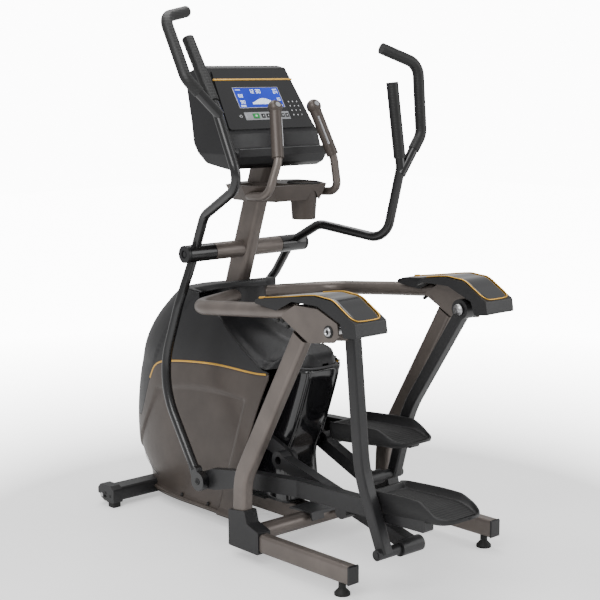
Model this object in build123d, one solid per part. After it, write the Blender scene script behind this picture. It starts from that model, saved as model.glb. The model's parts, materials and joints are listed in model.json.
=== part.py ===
from build123d import *
import os
from math import acos, atan2, copysign, cos, degrees, hypot, pi, radians, sin

os.makedirs("parts", exist_ok=True)

# Elliptical trainer. +X is the user's right, +Y the way the user faces, +Z is up, and Z = 0 is the floor.
# Inside this file Y is measured from the handlebar axis. save() then moves every piece by FRAME_SHIFT,
# which puts the origin under the middle of the whole trainer.

# ---- driving dimensions (mm, degrees) ----
FRAME_SHIFT = 345.3          # from the handlebar axis to the middle of the trainer

PIVOT_Z = 958.0              # handlebar axis above the floor
ARM_LENGTH = 774.1           # handlebar axis to lower knuckle
SWING_Y, SWING_Z = -790.0, 810.0    # shoulder axle that the swing arm hangs from
SWING_LENGTH = 685.9         # shoulder axle to the supporting link's rear hub
CRANK_Y, CRANK_Z = -129.4, 357.0
CRANK_RADIUS = 222.7
LINK_LENGTH = 609.8          # rear hub to crank pin
BEAM_SEAT = (235.5, 14.5)    # the beam's pivot on the link: along it from the rear hub, and above it
BEAM_LENGTH = 618.2          # knuckle to the beam's pivot on the link
ARM_REST = {-1: -6.64, 1: 26.65}     # handlebar angle at rest, left and right, + is forward below
SWING_REST = {-1: -11.98, 1: 26.63}  # swing arm angle at rest

SIDE_X = 330.0               # middle of each side frame
SIDE_TUBE = (42.0, 62.0)     # its tube, across and fore-aft
TUBE_WALL = 2.5
FLOOR_TUBE_Z = 73.0
FLOOR_TUBE_END = -873.0
CROSS_Y, CROSS_Z, CROSS_R = -385.0, 78.0, 28.0
RAIL_R = 24.0
RAIL_Y, RAIL_Z = -111.0, 797.0     # its side corners
RAIL_MIDDLE_Y = 8.0          # its middle corner, against the mast
RAIL_BENDS = [300, 120, 300, 120, 300]
FRONT_Y, FRONT_Z = 392.0, 46.0
FRONT_TUBE = (76.0, 50.0)
FRONT_HALF = 297.0
SPINE = 60.0
MAST_WIDE, MAST_DEEP = 50.0, 90.0
MAST_FOOT = (293.0, 100.0)
MAST_TOP = (-98.0, 1262.0)

PIVOT_AXLE_R = 12.5
SLEEVE_R = 30.0
SLEEVE_X = (152.0, 262.0)
ARM_TUBE_R = 16.5
ARM_BORE_R = 14.0
ARM_PLANE = 288.0            # lower arm and knuckle plate
KNUCKLE_R = 33.0
PIN_R = 10.0
RUNNING_FIT = 0.05           # radial clearance of every shaft in its bore
BEAM_X = (186.0, 224.0)
BEAM_HALF = 28.0
SWING_X = (235.0, 275.0)
LINK_X = (115.0, 155.0)
LINK_HALF = 22.0
HUB_X = (99.0, 191.0)
HUB_R = 25.0
SHOULDER_AXLE_R = 12.5
SHOULDER_HUB_R = 33.0
BRACKET_X = (297.0, 353.0)

COVER_HALF = 168.0           # half width of the casing's side covers
SPINE_COVER_HALF = 78.0      # half width of the casing's middle part
SKIN = 4.0                   # casing wall

CRANK_ARM_X = (88.0, 106.0)
CRANK_AXLE_R = 15.0
CRANK_PULLEY_R = 120.0
FLYWHEEL_PULLEY_R = 24.0
FLYWHEEL_Y, FLYWHEEL_Z = 60.0, 300.0
FLYWHEEL_R = 150.0
FLYWHEEL_X = (30.0, 58.0)
BELT_X = (-52.0, -38.0)

FACE_TOP = (-20.0, 1570.0)   # console face, top and bottom edge
FACE_FOOT = (-145.0, 1372.0)
TRAY_TOP, TRAY_BOTTOM = 1195.0, 1142.0
POCKET_DEEP = 15.0
CUP_PLACE = (64.0, -230.0)

SIDES = {"left": -1, "right": 1}


# ---- helpers ----
def save(name, *shapes):
    """Write one node, moved into the trainer's own frame."""
    placed = [Pos(0, FRAME_SHIFT, 0) * shape for shape in shapes]
    solids = [solid for shape in placed for solid in shape.solids()]
    export_step(solids[0] if len(solids) == 1 else Compound(children=solids), f"parts/{name}.step")


def slab(points, radius, x0, x1):
    """A plate lying in the side plane: an outline of (y, z) points with rounded corners, from x0 to x1."""
    outline = FilletPolyline(*[(x0, y, z) for y, z in points], radius=radius, close=True)
    return extrude(make_face(outline), amount=x1 - x0, dir=(1, 0, 0))


def plate(points, radius, z0, z1):
    """A plate lying flat: an outline of (x, y) points with rounded corners, from z0 to z1."""
    outline = FilletPolyline(*[(x, y, z0) for x, y in points], radius=radius, close=True)
    return extrude(make_face(outline), amount=z1 - z0, dir=(0, 0, 1))


def pin(y, z, radius, x0, x1):
    """A round bar along X."""
    return Pos((x0 + x1) / 2, y, z) * Rot(0, 90, 0) * Cylinder(radius, x1 - x0)


def bar(points, bends, outer, inner=0.0):
    """A bent round tube."""
    path = Polyline(*points) if len(points) == 2 else FilletPolyline(*points, radius=bends)
    section = Circle(outer)
    if inner:
        section -= Circle(inner)
    return sweep(Plane(origin=path @ 0, z_dir=path % 0) * section, path=path)


def box_bar(x, points, bends, wide, deep, corner, wall=TUBE_WALL):
    """A bent box tube in the side plane at x, from (y, z) points."""
    points = [(x, y, z) for y, z in points]
    path = Polyline(*points) if len(points) == 2 else FilletPolyline(*points, radius=bends)
    section = RectangleRounded(wide, deep, corner)
    if wall:
        section -= RectangleRounded(wide - 2 * wall, deep - 2 * wall, corner - wall)
    return sweep(Plane(origin=path @ 0, x_dir=(1, 0, 0), z_dir=path % 0) * section, path=path)


def to_side(shape, side):
    """Shapes are drawn on the right. The left one is their mirror image."""
    return shape if side > 0 else mirror(shape, about=Plane.YZ)


def turned(shape, y, z, angle):
    """Turn about an axis along X. A positive angle swings what hangs below the axis forward."""
    return Pos(0, y, z) * Rot(angle, 0, 0) * shape


def hanging(y, z, length, angle):
    """Where the end of an arm is that hangs from (y, z) at an angle."""
    return y + length * sin(radians(angle)), z - length * cos(radians(angle))


def linkage(side):
    """The places and angles of one side's pivots at rest."""
    knuckle = hanging(0, PIVOT_Z, ARM_LENGTH, ARM_REST[side])
    hub = hanging(SWING_Y, SWING_Z, SWING_LENGTH, SWING_REST[side])
    reach = hypot(CRANK_Y - hub[0], CRANK_Z - hub[1])
    opening = acos((LINK_LENGTH ** 2 + reach ** 2 - CRANK_RADIUS ** 2) / (2 * LINK_LENGTH * reach))
    link = atan2(CRANK_Z - hub[1], CRANK_Y - hub[0]) - opening
    crank_pin = (hub[0] + LINK_LENGTH * cos(link), hub[1] + LINK_LENGTH * sin(link))
    along, above = BEAM_SEAT
    seat = (hub[0] + along * cos(link) - above * sin(link), hub[1] + along * sin(link) + above * cos(link))
    beam = atan2(knuckle[1] - seat[1], knuckle[0] - seat[0])
    return {"knuckle": knuckle, "hub": hub, "crank_pin": crank_pin, "seat": seat,
            "link": degrees(link), "beam": degrees(beam)}


PLACES = {side: linkage(side) for side in SIDES.values()}


# ---- base frame ----
def front_stabilizer():
    tube = RectangleRounded(*FRONT_TUBE, 10) - RectangleRounded(FRONT_TUBE[0] - 6, FRONT_TUBE[1] - 6, 7)
    section = Plane(origin=(-FRONT_HALF, FRONT_Y, FRONT_Z), x_dir=(0, 1, 0), z_dir=(1, 0, 0)) * tube
    return extrude(section, amount=2 * FRONT_HALF)


WHEEL_Y, WHEEL_Z, WHEEL_R = 420.0, 38.0, 27.0
WHEEL_X = (305.0, 327.0)


def front_cap(side):
    """End cap with the transport wheel's fork, and a hump over the wheel."""
    outline = [(350, 17), (394, 17), (394, 40), (446, 40), (446, 62), (430, 78), (372, 78), (350, 66)]
    body = slab(outline, 5, FRONT_HALF, 338)
    body += pin(WHEEL_Y, WHEEL_Z, 13, FRONT_HALF, 302) + pin(WHEEL_Y, WHEEL_Z, 13, 330, 338)
    body -= pin(WHEEL_Y, WHEEL_Z, WHEEL_R + 3, 302, 330)
    body -= pin(WHEEL_Y, WHEEL_Z, 5, FRONT_HALF - 5, 345)
    return to_side(body, side)


def wheel_axle(side):
    rod = pin(WHEEL_Y, WHEEL_Z, 5, FRONT_HALF + 1, 338) + pin(WHEEL_Y, WHEEL_Z, 8, 338, 341)
    return to_side(rod, side)


def transport_wheel(side):
    tyre = pin(WHEEL_Y, WHEEL_Z, WHEEL_R, *WHEEL_X) - pin(WHEEL_Y, WHEEL_Z, 5 + RUNNING_FIT, 300, 332)
    tyre = fillet(tyre.edges().filter_by(GeomType.CIRCLE).group_by(SortBy.RADIUS)[-1], 4)
    return to_side(tyre, side)


def front_foot(side):
    pad = Pos(319, 371, 8.5) * Box(34, 36, 17)
    pad = fillet(pad.edges().filter_by(Axis.Z), 6)
    return to_side(pad, side)


def base_spine():
    front, back = FRONT_Y - FRONT_TUBE[0] / 2, CROSS_Y + CROSS_R
    tube = box_bar(0, [(front, 70), (back, 70)], 0, SPINE, SPINE, 6, 3)
    return tube - pin(CROSS_Y, CROSS_Z, CROSS_R, -60, 60)


def rear_cross_tube():
    half = SIDE_X - SIDE_TUBE[0] / 2
    return pin(CROSS_Y, CROSS_Z, CROSS_R, -half, half) - pin(CROSS_Y, CROSS_Z, CROSS_R - 3, -half, half)


SIDE_PATH = [(-652, 775), (-368, 268), (-362, FLOOR_TUBE_Z), (FLOOR_TUBE_END, FLOOR_TUBE_Z)]


def side_frame(side):
    """One bent tube: down from the shoulder bracket, round in the boot and back along the floor."""
    tube = box_bar(SIDE_X, SIDE_PATH, [170, 62], *SIDE_TUBE, 12)
    tube -= Pos(SIDE_X, REAR_FOOT_Y, FLOOR_TUBE_Z - SIDE_TUBE[1] / 2) * Cylinder(6, 20)
    return to_side(tube, side)


def side_frame_plug(side):
    cap = slab([(-873, 42), (-880, 46), (-880, 100), (-873, 104)], 1.5, SIDE_X - 21, SIDE_X + 21)
    return to_side(cap, side)


REAR_FOOT_Y = -830.0


def rear_foot(side):
    """Levelling foot: a rubber dome on a threaded stud."""
    z = FLOOR_TUBE_Z - SIDE_TUBE[1] / 2
    profile = Polyline((0, 0), (25, 0), (25, 8), (12, 22), (12, z), (6, z), (6, z + TUBE_WALL), (0, z + TUBE_WALL),
                       close=True)
    foot = revolve(Plane.XZ * make_face(profile), axis=Axis.Z)
    return to_side(Pos(SIDE_X, REAR_FOOT_Y, 0) * foot, side)


def boot(side):
    """Moulded cover over the bend where side frame and cross tube meet."""
    outline = [(-322, 38), (-322, 158), (-402, 168), (-414, 128), (-470, 110), (-470, 36)]
    body = slab(outline, 6, SIDE_X - 26, SIDE_X + 26)
    body -= box_bar(SIDE_X, SIDE_PATH, [170, 62], *SIDE_TUBE, 12, 0)
    body -= pin(CROSS_Y, CROSS_Z, CROSS_R, SIDE_X - 30, SIDE_X)
    return to_side(max(body.solids(), key=lambda s: s.volume), side)


BRACKET = [(-574, 830), (-702, 764), (-812, 779), (-832, 800), (-826, 838), (-740, 872), (-640, 872)]


def shoulder_bracket(side):
    """Two cheek plates and a top web, welded round the top of the side frame."""
    outer = slab(BRACKET, 8, BRACKET_X[1] - 5, BRACKET_X[1])
    inner = slab(BRACKET, 8, BRACKET_X[0], BRACKET_X[0] + 6)
    web = slab([(-640, 872), (-740, 872), (-740, 866), (-640, 866)], 1, BRACKET_X[0], BRACKET_X[1])
    body = outer + inner + web
    body -= box_bar(SIDE_X, SIDE_PATH, [170, 62], *SIDE_TUBE, 12, 0)
    body -= pin(SWING_Y, SWING_Z, SHOULDER_AXLE_R, 280, 360)
    body -= upper_frame_tube(RAIL_R, 0)
    return to_side(body, side)


def rail_points():
    return [(-322, -612, 846), (-326, -445, 830), (-322, RAIL_Y, RAIL_Z), (0, RAIL_MIDDLE_Y, RAIL_Z),
            (322, RAIL_Y, RAIL_Z), (326, -445, 830), (322, -612, 846)]


def upper_frame_tube(outer=RAIL_R, inner=RAIL_R - 2.5):
    """One bent tube that runs from shoulder to shoulder in front of the user, past the back of the mast."""
    return bar(rail_points(), RAIL_BENDS, outer, inner)


def mast():
    """The leaning mast with its handlebar cross tube, coped where the upper frame tube is welded on."""
    post = box_bar(0, [MAST_FOOT, MAST_TOP], 0, MAST_WIDE, MAST_DEEP, 18, 3)
    cross = pin(0, PIVOT_Z, SLEEVE_R, -150, 150)
    body = post + cross
    body -= pin(0, PIVOT_Z, PIVOT_AXLE_R, -160, 160)
    body -= upper_frame_tube(RAIL_R, 0)
    body -= Pos(0, 300, 70) * Box(200, 260, SPINE)
    return max(body.solids(), key=lambda s: s.volume)


def pivot_axle():
    return pin(0, PIVOT_Z, PIVOT_AXLE_R, -264, 264)


def pivot_cap(side):
    cap = pin(0, PIVOT_Z, SLEEVE_R, 264, 274) - pin(0, PIVOT_Z, 14, 269, 274)
    cap += pin(0, PIVOT_Z, 9, 269, 272)
    return to_side(cap, side)


def shoulder_axle(side):
    axle = pin(SWING_Y, SWING_Z, SHOULDER_AXLE_R, 228, 353)
    head = extrude(Plane(origin=(353, SWING_Y, SWING_Z), z_dir=(1, 0, 0)) * RegularPolygon(17, 6), amount=9)
    nut = pin(SWING_Y, SWING_Z, 19, 222, 228)
    return to_side(axle + head + nut, side)


COVER = [(-452, 858), (-470, 872), (-728, 910), (-808, 904), (-905, 848), (-912, 806), (-858, 800),
         (-842, 842), (-744, 882), (-632, 882), (-560, 846)]


def shoulder_cover(side):
    """Moulded cover over bracket and swing arm hub, hollow underneath."""
    body = slab(COVER, 6, 226, 358)
    body -= slab([(-500, 700), (-500, 862), (-728, 900), (-800, 893), (-838, 842), (-838, 700)], 4, 290, 355)
    body -= pin(SWING_Y, SWING_Z, SHOULDER_HUB_R + 3, 226, 292)
    body -= bar(rail_points(), 60, RAIL_R)
    body -= slab(BRACKET, 8, BRACKET_X[0] - 1, BRACKET_X[1])
    body -= slab([(-400, 800), (-400, 950), (-660, 950), (-560, 800)], 4, 226, 286)
    return to_side(max(body.solids(), key=lambda s: s.volume), side)


def shoulder_pad(side):
    """Glossy insert on the sloping end of the cover."""
    slope = Plane(origin=(292, -857, 876), x_dir=(1, 0, 0), z_dir=(0, -0.5, 0.866))
    pad = extrude(slope * RectangleRounded(104, 86, 16), amount=3)
    return to_side(pad, side)


# ---- handlebars ----
INNER_BEND = (235, -78, 125)
OUTER_BEND = (290, -341, 215)
GRIP_FOOT = (306, -275, 460)
GRIP_TOP = (282, -132, 700)
BRANCH = [(303, -288, 442), (390, -238, 566), (372, -130, 775), (240, -73, 803)]
LOWER_ARM = [(226, 14, -20), (262, 67, -170), (288, 172, -430), (288, 22, -735)]


def handlebar(side):
    """Sleeve, upper tube, branch and lower arm, welded, with the knuckle plate and its pin."""
    sleeve = pin(0, 0, SLEEVE_R, *SLEEVE_X) - pin(0, 0, SLEEVE_R - 4, SLEEVE_X[0] + 14, SLEEVE_X[1] - 14)
    upper = bar([(226, -10, 24), INNER_BEND, OUTER_BEND, GRIP_FOOT, GRIP_TOP], [70, 70, 60], ARM_TUBE_R)
    branch = bar(BRANCH, [60, 60], ARM_TUBE_R)
    lower = bar(LOWER_ARM, [160, 300], ARM_TUBE_R)
    knuckle = slab([(46, -715), (2, -725), (-10, -774), (16, -800)], 10, 274, 300) + pin(0, -ARM_LENGTH, KNUCKLE_R, 274, 300)
    knuckle_pin = pin(0, -ARM_LENGTH, PIN_R, 240, 275)
    body = sleeve + upper + branch + lower + knuckle + knuckle_pin
    body -= bar([(226, -10, 24), INNER_BEND, OUTER_BEND, GRIP_FOOT, GRIP_TOP], [70, 70, 60], ARM_BORE_R)
    body -= bar([*LOWER_ARM[:-1], (288, 39.2, -700)], [160, 300], ARM_BORE_R)
    body -= pin(0, 0, PIVOT_AXLE_R + RUNNING_FIT, 140, 280)
    body -= pin(0, 0, SLEEVE_R - 4, SLEEVE_X[0] + 14, SLEEVE_X[1] - 14)
    return turned(to_side(body, side), 0, PIVOT_Z, ARM_REST[side])


def along(a, b, t):
    return tuple(p + (q - p) * t for p, q in zip(a, b))


def straight_grip(side):
    low, high = along(GRIP_FOOT, GRIP_TOP, 0.12), along(GRIP_FOOT, GRIP_TOP, 1.0)
    cap = along(GRIP_FOOT, GRIP_TOP, 1.03)
    grip = bar([low, high], 0, 20.5, ARM_TUBE_R) + bar([high, cap], 0, 20.5)
    return turned(to_side(grip, side), 0, PIVOT_Z, ARM_REST[side])


def loop_grip(side):
    points = [along(BRANCH[0], BRANCH[1], 0.62), BRANCH[1], BRANCH[2], BRANCH[3]]
    cap = along(BRANCH[2], BRANCH[3], 1.03)
    grip = bar(points, [60, 60], 19.5) + bar([BRANCH[3], cap], 0, 19.5)
    grip -= bar([BRANCH[0], *points[1:]], [60, 60], ARM_TUBE_R)
    grip = max(grip.solids(), key=lambda s: s.volume)
    return turned(to_side(grip, side), 0, PIVOT_Z, ARM_REST[side])


# ---- pedals and linkage ----
BEAM_END = 980.0
PEDAL_U = (760.0, 1172.0)
PEDAL_X = (40.0, 226.0)


def on_beam(shape, side):
    """Shapes on the beam are drawn with the knuckle at the origin and the beam running to -Y."""
    y, z = PLACES[side]["knuckle"]
    return Pos(0, y, z) * Rot(PLACES[side]["beam"], 0, 0) * to_side(shape, side)


def pedal_beam(side):
    """Box beam from the knuckle to under the pedal. It steps inboard behind the knuckle."""
    profile = [(26, 4), (-40, 46), (-200, 66), (-618, 62), (-BEAM_END, 56), (-BEAM_END, 4), (-618, 8), (-200, 10),
               (-60, -24), (10, -28)]
    body = slab(profile, 10, 180, 272)
    plan = [(242, 40), (242, -170), (BEAM_X[0], -400), (BEAM_X[0], -BEAM_END - 5), (BEAM_X[1], -BEAM_END - 5),
            (BEAM_X[1], -420), (272, -190), (272, 40)]
    body &= plate(plan, 6, -80, 90)
    hollow = [(-70, 35), (-200, 62), (-618, 58), (-BEAM_END + 4, 52), (-BEAM_END + 4, 8), (-618, 12), (-200, 14)]
    body -= slab(hollow, 4, BEAM_X[0] + 4, BEAM_X[1] - 4) & plate([(BEAM_X[0], -420), (BEAM_X[0], -BEAM_END),
                                                                  (BEAM_X[1], -BEAM_END), (BEAM_X[1], -420)], 4, -80, 90)
    body += pin(0, 0, 30, 242, 272)
    body -= pin(0, 0, PIN_R + RUNNING_FIT, 230, 280)
    body += pin(-BEAM_LENGTH, 0, HUB_R, 158, BEAM_X[1] - 4)
    return on_beam(body, side)


def pedal(side):
    """Foot tray bolted on the beam, with a wall all round and a raised hood at its front."""
    front, back = -PEDAL_U[0], -PEDAL_U[1]
    outer = [(front, 66), (front, 128), (front - 120, 142), (back + 150, 116), (back + 12, 92), (back, 70),
             (back + 40, 30), (back + 150, 30), (back + 190, 66)]
    body = slab(outer, 8, *PEDAL_X)
    body = fillet(body.edges().filter_by(Axis.Z), 20) if body.edges().filter_by(Axis.Z) else body
    pocket = [(front - 14, 200), (front - 14, 86), (back + 160, 80), (back + 110, 46), (back + 40, 44),
              (back + 14, 80), (back + 6, 200)]
    body -= slab(pocket, 10, PEDAL_X[0] + 9, PEDAL_X[1] - 9)
    body -= slab([(-700, 0), (-700, 66), (-BEAM_END - 2, 60), (-BEAM_END - 2, 0)], 1, BEAM_X[0] - 1, BEAM_X[1] + 5)
    return on_beam(body, side)


def on_link(shape, side):
    """Shapes on the link are drawn with the rear hub at the origin and the link running to +Y."""
    y, z = PLACES[side]["hub"]
    return Pos(0, y, z) * Rot(PLACES[side]["link"], 0, 0) * to_side(shape, side)


def support_link(side):
    half = LINK_HALF
    body = slab([(0, -half), (LINK_LENGTH, -half), (LINK_LENGTH, half), (0, half)], 4, *LINK_X)
    body -= slab([(30, 3 - half), (LINK_LENGTH - 30, 3 - half), (LINK_LENGTH - 30, half - 3), (30, half - 3)], 3,
                 LINK_X[0] + 3, LINK_X[1] - 3)
    body += pin(0, 0, HUB_R, *HUB_X) + pin(LINK_LENGTH, 0, 30, *LINK_X)
    body += pin(*BEAM_SEAT, HUB_R, LINK_X[0], LINK_X[1])
    body -= pin(0, 0, PIN_R + RUNNING_FIT, 90, 200)
    body -= pin(LINK_LENGTH, 0, 14, 100, 170)
    body -= pin(*BEAM_SEAT, 11, 100, 170)
    return on_link(body, side)


def swing_arm(side):
    """Arm with its hub on the shoulder axle. It curves back to the pin that carries the link."""
    middle = sum(SWING_X) / 2
    arm = box_bar(middle, [(0, -20), (46, -440), (-4, -SWING_LENGTH - 4)], 420, 40, 40, 7)
    hub = pin(0, 0, SHOULDER_HUB_R, 232, 292) - pin(0, 0, SHOULDER_HUB_R - 5, 246, 278)
    link_pin = pin(0, -SWING_LENGTH, PIN_R, 96, 290)
    collar = pin(0, -SWING_LENGTH, 17, 194, 288)
    body = arm + hub + link_pin + collar
    body -= pin(0, 0, SHOULDER_AXLE_R + RUNNING_FIT, 225, 300)
    body -= pin(0, 0, SHOULDER_HUB_R - 5, 246, 278)
    return turned(to_side(max(body.solids(), key=lambda s: s.volume), side), SWING_Y, SWING_Z, SWING_REST[side])


# ---- drive ----
def crank():
    """Axle with both arms and their pins. The pins end short of the links."""
    body = pin(CRANK_Y, CRANK_Z, CRANK_AXLE_R, -CRANK_ARM_X[1], CRANK_ARM_X[1])
    for side, place in PLACES.items():
        y, z = place["crank_pin"]
        angle = degrees(atan2(z - CRANK_Z, y - CRANK_Y))
        arm = slab([(0, -30), (CRANK_RADIUS, -22), (CRANK_RADIUS, 22), (0, 30)], 3, *CRANK_ARM_X)
        arm += pin(0, 0, 36, *CRANK_ARM_X) + pin(CRANK_RADIUS, 0, 26, *CRANK_ARM_X)
        arm += pin(CRANK_RADIUS, 0, 12, CRANK_ARM_X[1], CRANK_ARM_X[1] + 6)
        body += Pos(0, CRANK_Y, CRANK_Z) * Rot(angle, 0, 0) * to_side(arm, side)
    return body


def crank_pulley():
    wheel = pin(CRANK_Y, CRANK_Z, CRANK_PULLEY_R, *BELT_X) - pin(CRANK_Y, CRANK_Z, CRANK_AXLE_R, -60, 0)
    for step in range(6):
        angle = step * pi / 3
        wheel -= pin(CRANK_Y + 68 * cos(angle), CRANK_Z + 68 * sin(angle), 24, -60, 0)
    return wheel


def crank_bearing(side):
    ring = pin(CRANK_Y, CRANK_Z, 26, 60, 72) - pin(CRANK_Y, CRANK_Z, CRANK_AXLE_R + RUNNING_FIT, 50, 80)
    return to_side(ring, side)


def flywheel():
    """Heavy disc with the small belt pulley on its hub."""
    disc = pin(FLYWHEEL_Y, FLYWHEEL_Z, FLYWHEEL_R, *FLYWHEEL_X)
    disc -= pin(FLYWHEEL_Y, FLYWHEEL_Z, FLYWHEEL_R - 34, FLYWHEEL_X[0], FLYWHEEL_X[0] + 9)
    disc -= pin(FLYWHEEL_Y, FLYWHEEL_Z, FLYWHEEL_R - 34, FLYWHEEL_X[1] - 9, FLYWHEEL_X[1])
    disc += pin(FLYWHEEL_Y, FLYWHEEL_Z, FLYWHEEL_PULLEY_R - 4, BELT_X[0], FLYWHEEL_X[1])
    disc += pin(FLYWHEEL_Y, FLYWHEEL_Z, FLYWHEEL_PULLEY_R, *BELT_X)
    return disc - pin(FLYWHEEL_Y, FLYWHEEL_Z, 8 + RUNNING_FIT, -80, 80)


def flywheel_axle():
    return pin(FLYWHEEL_Y, FLYWHEEL_Z, 8, -70, 70)


def belt_loop(extra):
    """The outer shape of the belt's run, grown by extra: two circles and the strip between them."""
    big, small = CRANK_PULLEY_R + extra, FLYWHEEL_PULLEY_R + extra
    span = hypot(FLYWHEEL_Y - CRANK_Y, FLYWHEEL_Z - CRANK_Z)
    lean = atan2(FLYWHEEL_Z - CRANK_Z, FLYWHEEL_Y - CRANK_Y)
    spread = acos((CRANK_PULLEY_R - FLYWHEEL_PULLEY_R) / span)
    corners = []
    for sign in (1, -1):
        way = lean + sign * spread
        near = (CRANK_Y + big * cos(way), CRANK_Z + big * sin(way))
        far = (FLYWHEEL_Y + small * cos(way), FLYWHEEL_Z + small * sin(way))
        corners += [near, far] if sign > 0 else [far, near]
    strip = slab(corners, 0.5, BELT_X[0] + 1, BELT_X[1] - 1)
    return (strip + pin(CRANK_Y, CRANK_Z, big, BELT_X[0] + 1, BELT_X[1] - 1)
            + pin(FLYWHEEL_Y, FLYWHEEL_Z, small, BELT_X[0] + 1, BELT_X[1] - 1))


def drive_belt():
    return belt_loop(4.5) - belt_loop(0.5)


def drive_frame():
    """Two cheek plates on a foot plate, which carry the crank bearings and the flywheel axle."""
    outline = [(-175, 106), (-185, 357), (-165, 405), (-90, 405), (100, 335), (110, 106)]
    body = slab(outline, 8, 64, 70) + slab(outline, 8, -70, -64)
    body += Pos(0, -32, 103) * Box(140, 284, 6)
    body -= pin(CRANK_Y, CRANK_Z, 26, -90, 90) + pin(FLYWHEEL_Y, FLYWHEEL_Z, 8, -90, 90)
    return body


def brake_magnet():
    """Magnet bracket over the flywheel's rim."""
    body = Pos(44, FLYWHEEL_Y, FLYWHEEL_Z + FLYWHEEL_R + 16) * Box(40, 60, 24)
    body += Pos(61.5, FLYWHEEL_Y, FLYWHEEL_Z + FLYWHEEL_R + 4) * Box(5, 60, 46)
    return body


# ---- casing ----
NOSE = [(480, 34), (486, 90), (545, 160), (566, 290), (556, 380), (527, 490), (455, 634), (330, 762)]
WIDE_TOP = [(236, 806), (60, 765), (-40, 728), (-230, 606), (-306, 560)]
WIDE_BACK = [(-236, 400), (-160, 219), (-112, 34)]
PLAN = [(COVER_HALF, -330), (COVER_HALF, 210), (128, 440), (60, 572), (-60, 572), (-128, 440),
        (-COVER_HALF, 210), (-COVER_HALF, -330)]
MIDDLE_PART = [(100, 560), (100, 735), (-40, 728), (-318, 660), (-392, 640), (-408, 604), (-402, 560), (-364, 454),
               (-332, 371), (-292, 285), (-296, 200), (-310, 112), (-150, 112), (-120, 560)]
SHROUD_EDGE = [(700, 300), (446, 300), (350, 500), (289, 531), (109, 559), (-52, 571), (-241, 571), (-330, 578)]


VISOR_PROFILE = [(262, 772), (236, 802), (175, 806), (85, 827), (10, 843), (-60, 855), (-135, 866), (-131, 839),
                 (-35, 829), (60, 811), (112, 790), (124, 762)]
VISOR_PLAN = [(-110, 270), (-110, 100), (-88, 0), (-62, -70), (-22, -136), (22, -136), (62, -70), (88, 0),
              (110, 100), (110, 270)]
NECK_PLAN = [(-75, 200), (-75, -68), (75, -68), (75, 200)]


def shell_of(profile, radius, plan, half):
    """A closed skin: side profile and plan crossed, less the same two drawn in by the wall."""
    side_face = make_face(FilletPolyline(*[(0, y, z) for y, z in profile], radius=radius, close=True))
    inner_face = offset(side_face, amount=-SKIN)
    body = extrude(side_face, amount=half, dir=(1, 0, 0), both=True)
    inner = extrude(inner_face, amount=half - SKIN, dir=(1, 0, 0), both=True)
    if plan:
        plan_face = make_face(FilletPolyline(*[(x, y, 0) for x, y in plan], radius=60, close=True))
        body &= extrude(plan_face, amount=1000, dir=(0, 0, 1))
        inner &= extrude(offset(plan_face, amount=-SKIN), amount=1000, dir=(0, 0, 1))
    return body, inner


def casing():
    """The casing's wide shell, from nose to open back, before it is cut into covers."""
    body, inner = shell_of(NOSE + WIDE_TOP + WIDE_BACK, 12, PLAN, COVER_HALF)
    skin = body - inner
    skin -= Pos(0, -260, 276) * Box(2 * COVER_HALF - 2 * SKIN, 420, 552)
    skin -= Pos(0, 300, 34) * Box(300, 500, 12)
    skin -= Pos(0, FRONT_Y, FRONT_Z) * Box(2 * FRONT_HALF, FRONT_TUBE[0] + 4, FRONT_TUBE[1] + 4)
    return skin


def upper_region(gap=0.0):
    lower = [(y, z + gap) for y, z in SHROUD_EDGE]
    return slab(lower + [(-600, 590 + gap), (-600, 1000), (700, 1000)], 0.5, -200, 200)


def upper_shroud(skin):
    """Black cover: nose, shoulders, the middle hump behind, and the visor round the mast."""
    body = skin & upper_region()
    middle, hollow = shell_of(MIDDLE_PART, 10, None, SPINE_COVER_HALF)
    hump = (middle - hollow) & slab([(-600, 592), (-600, 800), (110, 800), (110, 592)], 0.5, -200, 200)
    body -= hollow
    visor = slab(VISOR_PROFILE, 3, -110, 110) & plate(VISOR_PLAN, 14, 700, 900)
    body += visor + neck() + hump
    body -= post_clearance()
    body -= upper_frame_tube(RAIL_R + 1, 0)
    return max(body.solids(), key=lambda s: s.volume)


def neck():
    """Upright collar between the nose and the visor, rounded behind, that the frame tube enters from both sides."""
    inner = [(x - copysign(SKIN, x), y - copysign(SKIN, y)) for x, y in NECK_PLAN]
    wall = plate(NECK_PLAN, 60, 700, 850) - plate(inner, 60 - SKIN, 690, 860)
    return wall & slab([(-80, 704), (-80, 842), (60, 816), (200, 778), (200, 704)], 1, -80, 80)


def post_clearance():
    return box_bar(0, [MAST_FOOT, MAST_TOP], 0, MAST_WIDE + 1, MAST_DEEP + 1, 18.5, 0)


def side_cover(skin, side):
    half = Pos(side * 150.25, 0, 500) * Box(300, 1400, 1000)
    body = (skin - upper_region(-4)) & half
    return max(body.solids(), key=lambda s: s.volume)


def rear_shroud(skin):
    """Black cover between the cranks, behind the side covers."""
    body, hollow = shell_of(MIDDLE_PART, 10, None, SPINE_COVER_HALF)
    body -= hollow
    body -= skin
    body &= slab([(-600, 20), (-600, 588), (-196, 588), (-196, 20)], 0.5, -200, 200)
    body -= Pos(0, 0, 70) * Box(SPINE + 2, 900, SPINE + 2)
    return max(body.solids(), key=lambda s: s.volume)


def floor_cover():
    """Grey cover over the joint of spine and cross tube."""
    outline = [(-436, 84), (-428, 111), (-330, 111), (-318, 107), (-318, 102), (-345, 104), (-420, 107), (-430, 84)]
    return slab(outline, 1.5, -84, 84) - pin(CROSS_Y, CROSS_Z, CROSS_R, -90, 90) - Pos(0, 0, 70) * Box(60, 900, 60)


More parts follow.
